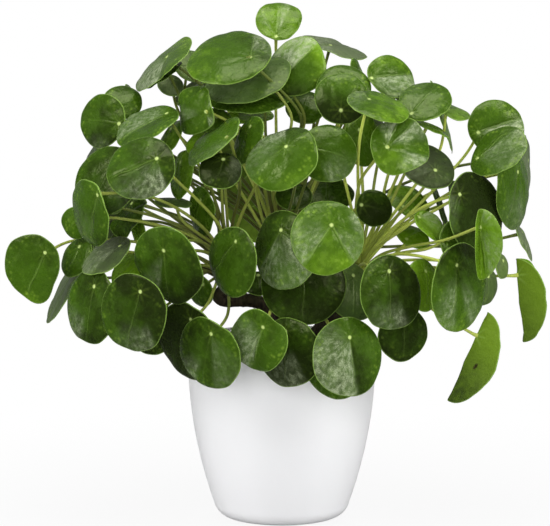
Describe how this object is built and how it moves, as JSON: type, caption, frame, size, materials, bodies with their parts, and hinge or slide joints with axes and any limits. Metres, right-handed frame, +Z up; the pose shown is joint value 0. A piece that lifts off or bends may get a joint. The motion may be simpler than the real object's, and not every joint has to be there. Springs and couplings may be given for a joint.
{
  "type": "potted chinese money plant",
  "caption": "Bushy houseplant with round, coin-like leaves on long stalks from short woody stems, growing in soil in a plain tapered white pot.",
  "frame": {"origin": "centre of the pot's flat foot, on the surface it stands on", "axes": "+Z up along the pot's axis; -Y is the side that the plant is seen from in the picture; +X is to the right from there"},
  "size_m": [0.537, 0.4191, 0.5157],
  "materials": {
    "pot_plastic": "smooth satin white",
    "soil": "crumbly dark potting soil",
    "bark": "rough brown woody stem with leaf scars",
    "leaf": "smooth glossy green leaf, paler beneath, on matt yellow-green stalks"
  },
  "bodies": {
    "root": {"pot": "pot_plastic", "soil": "soil", "trunk_left": "bark", "trunk_top": "bark", "trunk_right": "bark", "trunk_front": "bark", "trunk_back": "bark", "crown_left": "leaf", "crown_top": "leaf", "crown_right": "leaf", "crown_front": "leaf", "crown_back": "leaf"}
  },
  "joints": []
}
